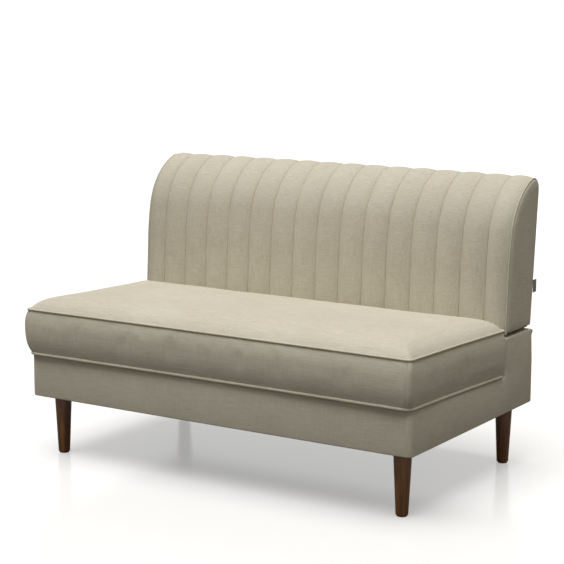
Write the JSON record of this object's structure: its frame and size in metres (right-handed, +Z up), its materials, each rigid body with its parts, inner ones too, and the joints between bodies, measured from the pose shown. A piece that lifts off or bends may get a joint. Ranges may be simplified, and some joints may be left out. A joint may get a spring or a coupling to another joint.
{
  "type": "armless sofa",
  "caption": "Armless fabric sofa with a vertically channelled back, a loose piped bench cushion and tapered round wooden legs.",
  "frame": {"origin": "on the floor, under the centre of the sofa's footprint", "axes": "+X along the sofa's width, to the right of someone who looks at its front; +Z up; the front faces -Y"},
  "size_m": [1.2134, 0.735, 0.801],
  "materials": {
    "sofa_fabric": "woven linen look, matt",
    "tab_fabric": "folded plain tape",
    "dust_cloth": "thin non-woven",
    "webbing": "elastic, ribbed",
    "wadding": "fibre fleece",
    "foam": "open-cell foam",
    "plywood": "raw plywood",
    "pine": "planed",
    "walnut_stained_wood": "satin stain",
    "zinc_steel": "zinc plated",
    "glide_plastic": "matt",
    "bumper_rubber": "matt",
    "zip_tape": "woven tape",
    "zip_plastic": "coil",
    "zip_metal": "painted"
  },
  "bodies": {
    "root": {"base_left_cover": "sofa_fabric", "base_right_cover": "sofa_fabric", "base_front_cover": "sofa_fabric", "deck_cover": "sofa_fabric", "base_rear_cover": "sofa_fabric", "riser_cover": "sofa_fabric", "right_side_board": "plywood", "left_side_board": "plywood", "front_rail": "pine", "webbing_rail": "pine", "rear_rail": "pine", "centre_stretcher": "pine", "riser_posts": "pine", "riser_top_board": "plywood", "riser_front_board": "plywood", "riser_rear_board": "plywood", "dust_cover": "dust_cloth", "webbing_lengthwise": "webbing", "webbing_crosswise": "webbing", "deck_pad": "wadding", "front_legs": "walnut_stained_wood", "rear_legs": "walnut_stained_wood", "leg_glides": "glide_plastic", "corner_blocks": "pine", "leg_plates": "zinc_steel", "leg_bolts": "zinc_steel", "back_sockets": "zinc_steel"},
    "backrest": {"back_channel_panel": "sofa_fabric", "right_back_piping": "sofa_fabric", "left_back_piping": "sofa_fabric", "right_back_side_panel": "sofa_fabric", "left_back_side_panel": "sofa_fabric", "back_rear_cover": "sofa_fabric", "back_bottom_cover": "dust_cloth", "seam_tab": "tab_fabric", "back_foam": "foam", "left_back_rib": "plywood", "right_back_rib": "plywood", "back_centre_ribs": "plywood", "back_bottom_rails": "pine", "back_top_rails": "pine", "back_front_board": "plywood", "back_rear_board": "plywood", "back_tongues": "zinc_steel", "tongue_bolts": "zinc_steel", "back_bumpers": "bumper_rubber"},
    "seat_cushion": {"cushion_top_panel": "sofa_fabric", "cushion_boxing": "sofa_fabric", "cushion_bottom_panel": "sofa_fabric", "cushion_wadding": "wadding", "cushion_foam": "foam", "cushion_top_piping": "sofa_fabric", "cushion_bottom_piping": "sofa_fabric", "zip_tapes": "zip_tape", "zip_chain": "zip_plastic", "zip_end_stops": "zip_metal"},
    "zip_slider": {"zip_slider": "zip_metal"}
  },
  "joints": [
    {"name": "seat_cushion_lift", "type": "slide", "parent": "root", "child": "seat_cushion", "axis": [0, 0, 1], "range_m": [0, 0.25]},
    {"name": "backrest_lift", "type": "slide", "parent": "root", "child": "backrest", "axis": [0, 0, 1], "range_m": [0, 0.1]},
    {"name": "zip_slide", "type": "slide", "parent": "seat_cushion", "child": "zip_slider", "axis": [1, 0, 0], "range_m": [-0.968, 0]}
  ]
}
